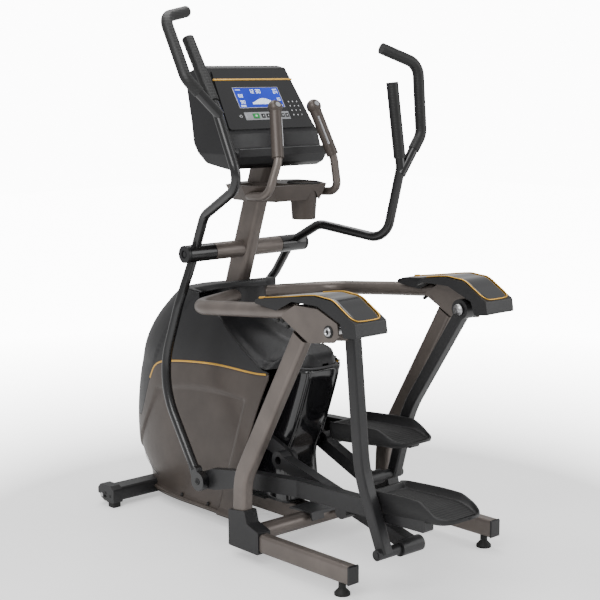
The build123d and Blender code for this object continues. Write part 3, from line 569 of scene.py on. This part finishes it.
def base_lip(word, side):
    """The foot of the side cover flares out, and has two clip slots, drawn as black blocks of painted shade.
    """
    lip = [(y, 46 + 0.006 * (y - 100)) for y in range(-100, 421, 20)]
    seam_line(f"base_lip_{word}", lip, side, 6.0, BRONZE_PLASTIC, 4.0)
    for number, y in enumerate((20.0, 170.0)):
        # Each slot is a black block on the foot: painted shade in the slot.
        clip = prism_mesh(f"clip_slot_shade_{word}_{number}", [(y - 7, 50), (y + 7, 50), (y + 3, 64), (y - 3, 64)],
                          side * (casing_x(y, 55) - 3), side * (casing_x(y, 55) + 2.5))
        piece(f"clip_slot_shade_{word}_{number}", clip, RUBBER)


def ridges(word, side):
    """Two pressed lines sweep from the shoulder of the flank down to the gold line."""
    outer = [(80, 735), (30, 690), (-40, 640), (-120, 600), (-200, 580), (-290, 574)]
    inner = [(20, 742), (-40, 690), (-110, 640), (-180, 604), (-250, 586), (-300, 580)]
    for number, line in enumerate((outer, inner)):
        seam_line(f"flank_ridge_{word}_{number}", line, side, 3.2, SHROUD_PLASTIC, 0.4)


def casing():
    """Both sides of the casing with their trim and dark beads of painted shade in its grooves, then what runs
    across its middle.
    """
    for word, side in SIDES.items():
        side_cover(word, side)
        upper_flank(word, side)
        gold = [(y, gold_height(y)) for y in range(-296, 384, 17)]
        seam_line(f"gold_line_{word}", gold, side, 5.0, GOLD, 0.5)
        # A dark bead runs round the inner panel's step: painted shade in its groove.
        top = [(y, panel_top(y)) for y in range(-195, 312, 20)]
        front = [(312 + 118 * t, 433 - 160 * t) for t in (0.1, 0.4, 0.7, 1.0)]
        back = [(panel_back(z), z) for z in range(60, 480, 40)]
        seam_line(f"panel_groove_shade_{word}", back + top + front, side, 1.8, RUBBER, 0.2)
        # A thin dark bead along the nose crease: painted shade in the crease.
        crease = [(y, 95 + (y - 330) * 0.27) for y in range(330, 521, 19)]
        seam_line(f"nose_crease_shade_{word}", crease, side, 0.8, RUBBER, 0.1)
        base_lip(word, side)
        ridges(word, side)
    shroud_top()
    spine_cap()
    visor()
    neck()
    rear_shroud()
    tail_lip()


# ---- shoulders ----
PAD_LINE = [(-900, 851), (-850, 881), (-808, 904.5), (-768, 909), (-728, 911), (-600, 892), (-478, 874)]
PAD_HALF = (234.0, 353.0)


def shoulder_insert(word, side):
    """Glossy insert over the cover's top and sloping end, with a gold bead round it."""
    near, far = PAD_HALF[1], PAD_HALF[0]
    rows, outer, inner = [], [], []
    for i in range(81):
        y = -480 - 420 * i / 80
        z = follow(PAD_LINE, y) + 1.2
        tail = max(0.0, (-870 - y) / 30)
        trim = 20 * (1 - sqrt(max(0.0, 1 - tail ** 2)))
        low, high = far + trim + (1 - smooth(480, 660, -y)) * 54, near - trim
        rows.append([at(side * (low + (high - low) * j / 8), y, z) for j in range(9)])
        outer.append(at(side * high, y, z + 0.5))
        inner.append(at(side * low, y, z + 0.5))
    obj = piece(f"shoulder_insert_{word}", sheet_mesh(f"insert_{word}", rows, side > 0), GLOSS_BLACK,
                replaces=["shoulder_pads"])
    thicken(obj, 2.0)
    loop = outer + inner[:30:-1]
    piece(f"shoulder_bead_{word}", line_curve(f"bead_{word}", loop, 2.0), GOLD)
    tip = line_curve(f"tip_{word}", outer[:5], 4.0)
    piece(f"shoulder_bead_tip_{word}", tip, GOLD)


def lathe_x(name, profile, y, z, side=1, sides=40):
    """A turned piece about an axis along X, from (x, radius) points."""
    rings = []
    for x, radius in profile:
        rings.append([at(side * x, y + radius * cos(2 * pi * i / sides), z + radius * sin(2 * pi * i / sides))
                      for i in range(sides)])
    return tube_mesh(name, rings)


def tube_mesh(name, rings):
    """Closed rings of places joined into one closed skin."""
    mesh = bmesh.new()
    verts = [[mesh.verts.new(place) for place in ring] for ring in rings]
    count = len(verts[0])
    for one, two in zip(verts, verts[1:]):
        for i in range(count):
            j = (i + 1) % count
            mesh.faces.new([one[i], one[j], two[j], two[i]])
    mesh.faces.new(verts[0][::-1])
    mesh.faces.new(verts[-1])
    bmesh.ops.remove_doubles(mesh, verts=mesh.verts, dist=0.00001)
    bmesh.ops.recalc_face_normals(mesh, faces=mesh.faces)
    for face in mesh.faces:
        face.smooth = True
    data = bpy.data.meshes.new(name)
    mesh.to_mesh(data)
    mesh.free()
    return data


SHOULDER = (-790.0, 810.0)


def shoulder_bolt(word, side):
    """The shoulder axle with a domed socket head on a black washer."""
    axle = lathe_x(f"axle_{word}", [(222, 19), (228, 19), (228, 12.5), (353, 12.5)], *SHOULDER, side)
    piece(f"shoulder_axle_{word}", axle, STEEL, replaces=["shoulder_axles"])
    washer = lathe_x(f"washer_{word}", [(352, 19), (355, 19), (356, 18)], *SHOULDER, side)
    piece(f"shoulder_washer_{word}", washer, RUBBER)
    profile = [(354, 14.5), (359, 14), (361.5, 11), (362, 8), (357, 7.5)]
    head = lathe_x(f"head_{word}", profile, *SHOULDER, side)
    piece(f"shoulder_bolt_{word}", head, CHROME)
    # A black hexagon at the bottom of the head's recess: painted shade in the socket.
    socket = lathe_x(f"socket_{word}", [(357, 7.4), (358.5, 7.4)], *SHOULDER, side, 6)
    piece(f"shoulder_socket_shade_{word}", socket, RUBBER)


def shoulder_screws(word, side):
    """Small dark screws under the rail and behind the bracket's upper edge."""
    places = ((338, -548, 812), (318, -560, 812), (350, -582, 816), (350, -606, 800))
    for number, (x, y, z) in enumerate(places):
        profile = [(x - 5, 5.5), (x + 3, 5.5), (x + 4.5, 3.5)]
        screw = lathe_x(f"screw_{word}_{number}", profile, y, z, side, 20)
        piece(f"shoulder_screw_{word}_{number}", screw, RUBBER)


def shoulders():
    for word, side in SIDES.items():
        shoulder_insert(word, side)
        shoulder_bolt(word, side)
        shoulder_screws(word, side)


# ---- pedals ----
BEAM_REST = {"left": (-89.5, 189.1, -1.95), "right": (347.2, 266.1, -3.12)}
PEDAL_FRONT, PEDAL_REAR = 725, 1080
WALL_OUT = [(670, 90), (737, 96), (953, 97), (990, 82), (1027, 60), (1080, 54)]
WALL_IN = [(670, 82), (737, 88), (960, 90), (1010, 72), (1048, 56), (1080, 54)]
PEDAL_FLOOR = [(670, 67), (960, 66), (990, 60), (1030, 48), (1080, 46)]
PEDAL_BASE = [(670, 36), (766, 27), (992, 36), (1050, 38), (1080, 48)]


def on_beam(word, x, back, z):
    """A place on a pedal beam: across, back from the knuckle, and above the beam's line."""
    y0, z0, lean = BEAM_REST[word]
    c, s = cos(radians(lean)), sin(radians(lean))
    return at(SIDES[word] * x, y0 - back * c - z * s, z0 - back * s + z * c)


def pedal_edges(back):
    """The pedal's two edges across, drawn in at its rounded front and rear."""
    rear = max(0.0, (back - PEDAL_REAR + 80) / 80)
    rear = sqrt(max(0.0, 1 - min(1.0, rear) ** 2.2))
    front = max(0.0, (PEDAL_FRONT + 25 - back) / 25)
    front = 14 * front ** 2
    return 133 - 93 * rear + front * 0.9, 133 + 93 * rear - front * 0.9


def pedal(word):
    """Foot tray with a high inner wall and an outer wall that drops away at the heel."""
    rings = []
    length = PEDAL_REAR - PEDAL_FRONT
    stops = [PEDAL_FRONT + length * i / 70 for i in range(69)]
    stops += [PEDAL_REAR - 4, PEDAL_REAR - 1, PEDAL_REAR]
    for back in stops:
        low, high = pedal_edges(back)
        wall = min(8.0, (high - low) * 0.2)
        outer, inner = follow(WALL_OUT, back), follow(WALL_IN, back)
        floor, base = follow(PEDAL_FLOOR, back), follow(PEDAL_BASE, back)
        if back < PEDAL_FRONT + 15 or back > PEDAL_REAR - 9:
            floor = max(floor, min(outer, inner) - 6)
        under = (high - low) * 0.04
        rings.append([on_beam(word, x, back, z) for x, z in (
            (high - under, base), (high, base + 8), (high, outer - 3), (high - 3, outer),
            (high - wall + 1, outer), (high - wall - 1, outer - 4), (high - wall - 3, floor + 3),
            (high - wall - 8, floor),
            ((low + high) / 2, floor), (low + wall + 8, floor), (low + wall + 3, floor + 3),
            (low + wall + 1, inner - 4), (low + wall - 1, inner), (low + 3, inner), (low, inner - 3),
            (low, base + 8), (low + under, base), ((low + high) / 2, base - 0.5))])
    obj = piece(f"pedal_body_{word}", tube_mesh(f"pedal_{word}", rings), PEDAL_PLASTIC,
                f"{word}_pedal_beam", [f"pedal_{word}"])
    round_edges(obj, 1.2, 2, 55)
    tread(word)


def tread(word):
    """Ribbed sole set in the pedal's floor."""
    rows = []
    for i in range(221):
        back = PEDAL_FRONT + 32 + (PEDAL_REAR - PEDAL_FRONT - 61) * i / 220
        low, high = pedal_edges(back)
        low, high = low + 21, high - 21
        z = follow(PEDAL_FLOOR, back) + 1.2
        rib = 1.6 * (0.5 + 0.5 * sin(back * 2 * pi / 11))
        rise = [rib * 0.25 if j in (0, 8, 16) else rib for j in range(17)]
        rows.append([on_beam(word, low + (high - low) * j / 16, back, z + rise[j]) for j in range(17)])
    sheet = sheet_mesh(f"tread_{word}", rows, SIDES[word] > 0)
    obj = piece(f"pedal_tread_{word}", sheet, RUBBER, f"{word}_pedal_beam")
    thicken(obj, 2.0)


def beam_details(word, side):
    """Cap and screw on the knuckle."""
    y, z, _ = BEAM_REST[word]
    cap = lathe_x(f"knuckle_cap_{word}", [(299, 12), (301.5, 12), (302.5, 10.5)], y, z, side)
    piece(f"knuckle_washer_{word}", cap, BLACK_PAINT, f"{word}_handlebar")
    screw = lathe_x(f"knuckle_screw_{word}", [(301, 6), (303.5, 6), (304.5, 4.5)], y, z, side, 24)
    piece(f"knuckle_bolt_{word}", screw, RUBBER, f"{word}_handlebar")


# ---- console ----
FACE_LENGTH = sqrt(125.0 ** 2 + 198.0 ** 2)
FACE_Y, FACE_Z = 125.0 / FACE_LENGTH, 198.0 / FACE_LENGTH


def on_face(x, up, lift=5.0):
    """A place on the console's sloping face: across, up the slope from its middle, and above it."""
    return at(x, -82.5 + up * FACE_Y - lift * FACE_Z, 1471 + up * FACE_Z + lift * FACE_Y)


def face_block(name, x0, x1, up0, up1, lift0, lift1, material, slot, taper=0.0, body="frame", replaces=()):
    """A low block on the console's face."""
    rings = []
    for lift, t in ((lift0, 0.0), (lift1 - taper, 0.0), (lift1, taper)):
        rings.append([on_face(x, up, lift) for x, up in (
            (x0 + t, up0 + t), (x1 - t, up0 + t), (x1 - t, up1 - t), (x0 + t, up1 - t))])
    data = tube_mesh(name, rings)
    for polygon in data.polygons:
        polygon.use_smooth = False
    return piece(name, data, material, body, replaces)


DIGIT_BARS = {"0": "abcdef", "1": "bc", "2": "abged", "3": "abgcd", "4": "fgbc", "5": "afgcd", "6": "afgedc",
              "7": "abc", "8": "abcdefg", "9": "abcdfg"}


def digit(name, character, x, up, wide, high):
    """A seven-bar number on the display."""
    t = wide * 0.22
    spans = {"a": (x, x + wide, up + high - t, up + high), "d": (x, x + wide, up, up + t),
             "g": (x, x + wide, up + (high - t) / 2, up + (high + t) / 2),
             "f": (x, x + t, up + high / 2, up + high), "e": (x, x + t, up, up + high / 2),
             "b": (x + wide - t, x + wide, up + high / 2, up + high),
             "c": (x + wide - t, x + wide, up, up + high / 2)}
    return [(f"{name}_{bar}", spans[bar]) for bar in DIGIT_BARS[character]]


def display_marks():
    """Times, counts and a row of effort bars, in generic numbers, joined into one thin mesh."""
    readings = (("clock", "12", -42, 25, 9, 15), ("seconds", "30", -12, 25, 9, 15),
                ("speed", "68", -95, 10, 8, 12), ("pulse", "90", -95, -14, 8, 12),
                ("level", "24", 66, 22, 8, 12), ("distance", "15", 66, -6, 8, 12))
    places = []
    for name, text, x, up, wide, high in readings:
        for i, character in enumerate(text):
            places += digit(f"{name}{i}", character, x + i * wide * 1.35, up, wide, high)
    for i in range(13):
        height = 5 + 18 * sin(pi * (0.12 + 0.62 * i / 12)) ** 2
        places.append((f"bar{i}", (-44 + i * 6.6, -39 + i * 6.6, -18, -18 + height)))
    for i, up in enumerate((38, -22, -26)):
        places.append((f"caption{i}", (-100, -78, up, up + 2.0)))
        places.append((f"caption_right{i}", (66, 86, up, up + 2.0)))
    mesh = bmesh.new()
    for _, (x0, x1, up0, up1) in places:
        corners = ((x0, up0), (x1, up0), (x1, up1), (x0, up1))
        mesh.faces.new([mesh.verts.new(on_face(x, up, 5.35)) for x, up in corners])
    data = bpy.data.meshes.new("display_marks")
    mesh.to_mesh(data)
    mesh.free()
    piece("display_marks", data, DIGITS)


KEYPAD_AT = (136, -38)
KEY_PITCH = (19, 17.5)


def key_marks():
    """Dots for the keypad's legends, and small dark keys on the silver bar."""
    for row in range(4):
        for column in range(3):
            x = KEYPAD_AT[0] + (column - 1) * KEY_PITCH[0]
            up = KEYPAD_AT[1] + (row - 1.5) * KEY_PITCH[1]
            box = (x - 1.6, x + 1.6, up - 2.4, up + 2.4, 7.0, 7.5)
            face_block(f"key_legend_{row}{column}", *box, INK, "key_silver")
    for number, x in enumerate((-20, 2, 24, 46, 68, 88)):
        material = RUBBER if number < 3 else GREY_PLASTIC
        face_block(f"bar_key_{number}", x - 8, x + 8, -71, -55, 4.5, 6.0, material, "rubber_black", 0.5)
        face_block(f"bar_legend_{number}", x - 1.5, x + 1.5, -65, -61, 6.0, 6.3, INK, "key_silver")
    face_block("level_down_key", -96, -74, -72, -54, 4.5, 5.8, SILVER, "key_silver", 0.5)
    face_block("start_arrow", -56, -48, -66, -60, 6.6, 7.1, INK, "key_silver", 0.0, "start_stop_key")
    spot = [on_face(-119 + 5 * cos(a * pi / 8), -63 + 5 * sin(a * pi / 8), 5.2) for a in range(17)]
    piece("round_key_ring", line_curve("round_key", spot, 0.7), INK)


def console():
    """Gold line, display bezel, print and seams on the CAD console."""
    gold = [on_face(x, 79, 5.4) for x in (-176, -90, 0, 90, 176)]
    piece("face_gold_line", line_curve("face_gold", gold, 3.4), GOLD)
    corners = ((-109, -31.5), (93, -31.5), (93, 47.5), (-109, 47.5), (-109, -31.5))
    frame_line = [on_face(x, up, 5.4) for x, up in corners]
    bezel = bpy.data.curves.new("display_bezel", "CURVE")
    bezel.dimensions = "3D"
    bezel.bevel_depth = 0.0013
    spline = bezel.splines.new("POLY")
    spline.points.add(len(frame_line) - 1)
    for point, place in zip(spline.points, frame_line):
        point.co = (*place, 1)
    piece("display_bezel", bezel, SILVER)
    display_marks()
    key_marks()
    for word, side in SIDES.items():
        for number, lift in enumerate((22.0, 58.0)):
            seam = [on_face(side * (176 + 0.09 * (118 - up)), up, -lift) for up in range(-120, 101, 20)]
            name = f"console_seam_{word}_{number}"
            piece(name, line_curve(name, seam, 1.2), RUBBER)


# ---- small parts ----
def front_foot_details(word, side):
    """Two screws in the end cap."""
    for number, (y, z) in enumerate(((372, 40), (400, 48))):
        screw = lathe_x(f"cap_screw_{word}_{number}", [(336, 5.5), (338.6, 5.5), (339.4, 4)], y, z, side, 20)
        piece(f"front_cap_screw_{word}_{number}", screw, RUBBER)


def cup_ring():
    """Black rubber ring round the cup well."""
    x, y = 64, -230
    places = [at(x + 53 * cos(a * pi / 16), y + 53 * sin(a * pi / 16), 1196.5) for a in range(33)]
    piece("cup_ring", line_curve("cup_ring", places, 4.5), RUBBER)


PULSE_TOP, PULSE_FOOT = (87, -255, 1452), (126, -313, 1280)


def pulse_details(word, side):
    """Two chrome contact strips on each pulse grip."""
    top, foot = (Vector(p) for p in (PULSE_TOP, PULSE_FOOT))
    way = (top - foot).normalized()
    for name, turn in (("front", Vector((0, 1, 0))), ("back", Vector((-0.6, -0.8, 0)))):
        out = (turn - way * turn.dot(way)).normalized() * 17.5
        strip = [at(side * p.x, p.y, p.z) for p in (foot + way * d + out for d in (50, 70, 110, 140, 150))]
        curve = line_curve(f"contact_{name}_{word}", strip, 4.2)
        piece(f"pulse_contact_{name}_{word}", curve, CHROME)


def small_parts():
    cup_ring()
    for word, side in SIDES.items():
        front_foot_details(word, side)
        beam_details(word, side)
        pulse_details(word, side)


# ---- stage, light and camera ----
WORLD_LIGHT = 0.6
BACKDROP_GLOW = 12.0


def stage():
    ground = bpy.data.meshes.new("floor")
    reach = 12.0
    ground.from_pydata([(-reach, -reach, 0), (reach, -reach, 0), (reach, reach, 0), (-reach, reach, 0)], [],
                       [(0, 1, 2, 3)])
    floor = bpy.data.objects.new("floor", ground)
    bpy.context.scene.collection.objects.link(floor)
    floor.data.materials.append(white_floor())
    white_world()
    area_light("key", (-3.2, -1.2, 3.4), 3.0, 130)
    area_light("fill", (2.8, -3.4, 2.2), 3.0, 60)
    area_light("top", (0.4, 1.0, 4.4), 3.5, 130)


def white_floor():
    """Pale ground that keeps soft shadows near the part and fades to the backdrop further out."""
    material, tree, shader = new_material("pale_floor", 0.6, specular=0.2)
    tint(tree, shader, noise(tree, 2.0, 2.0), (0.86, 0.86, 0.86), (0.90, 0.90, 0.90))
    place = tree.nodes.new("ShaderNodeNewGeometry")
    distance = tree.nodes.new("ShaderNodeVectorMath")
    distance.operation = "LENGTH"
    tree.links.new(place.outputs["Position"], distance.inputs[0])
    fade = tree.nodes.new("ShaderNodeMapRange")
    for name, value in (("From Min", 1.2), ("From Max", 4.0), ("To Min", 0.5), ("To Max", BACKDROP_GLOW)):
        fade.inputs[name].default_value = value
    tree.links.new(distance.outputs["Value"], fade.inputs["Value"])
    seen = tree.nodes.new("ShaderNodeLightPath")
    glow = tree.nodes.new("ShaderNodeMath")
    glow.operation = "MULTIPLY"
    tree.links.new(fade.outputs["Result"], glow.inputs[0])
    tree.links.new(seen.outputs["Is Camera Ray"], glow.inputs[1])
    shader.inputs["Emission Color"].default_value = (1, 1, 1, 1)
    tree.links.new(glow.outputs["Value"], shader.inputs["Emission Strength"])
    return material


def white_world():
    """White where the camera sees it, and a softer light on the part."""
    world = bpy.data.worlds.new("studio")
    world.use_nodes = True
    tree = world.node_tree
    light = tree.nodes["Background"]
    light.inputs["Color"].default_value = (1, 1, 1, 1)
    light.inputs["Strength"].default_value = WORLD_LIGHT
    backdrop = tree.nodes.new("ShaderNodeBackground")
    backdrop.inputs["Color"].default_value = (1, 1, 1, 1)
    backdrop.inputs["Strength"].default_value = BACKDROP_GLOW
    seen = tree.nodes.new("ShaderNodeLightPath")
    mix = tree.nodes.new("ShaderNodeMixShader")
    tree.links.new(seen.outputs["Is Camera Ray"], mix.inputs["Fac"])
    tree.links.new(light.outputs["Background"], mix.inputs[1])
    tree.links.new(backdrop.outputs["Background"], mix.inputs[2])
    tree.links.new(mix.outputs["Shader"], tree.nodes["World Output"].inputs["Surface"])
    bpy.context.scene.world = world


def area_light(name, place, size, power):
    data = bpy.data.lights.new(name, "AREA")
    data.size = size
    data.energy = power
    light = bpy.data.objects.new(name, data)
    light.location = place
    light.rotation_euler = (Vector((0, 0, 0.8)) - Vector(place)).to_track_quat("-Z", "Y").to_euler()
    bpy.context.scene.collection.objects.link(light)


def camera():
    """Behind the user's left shoulder, at chest height, with a long lens."""
    data = bpy.data.cameras.new("camera")
    data.lens = 87.5
    data.sensor_width = 36.0
    data.clip_end = 100
    eye = bpy.data.objects.new("camera", data)
    turn, rise = radians(-42.6), radians(9.3)
    look = Vector((-sin(turn) * cos(rise), cos(turn) * cos(rise), -sin(rise)))
    eye.location = at(-3292.8, -3862.0, 1602.4)
    eye.rotation_euler = look.to_track_quat("-Z", "Y").to_euler()
    bpy.context.scene.collection.objects.link(eye)
    bpy.context.scene.camera = eye


camera()
stage()
paint_frame()
casing()
shoulders()
pedal("left")
pedal("right")
console()
small_parts()
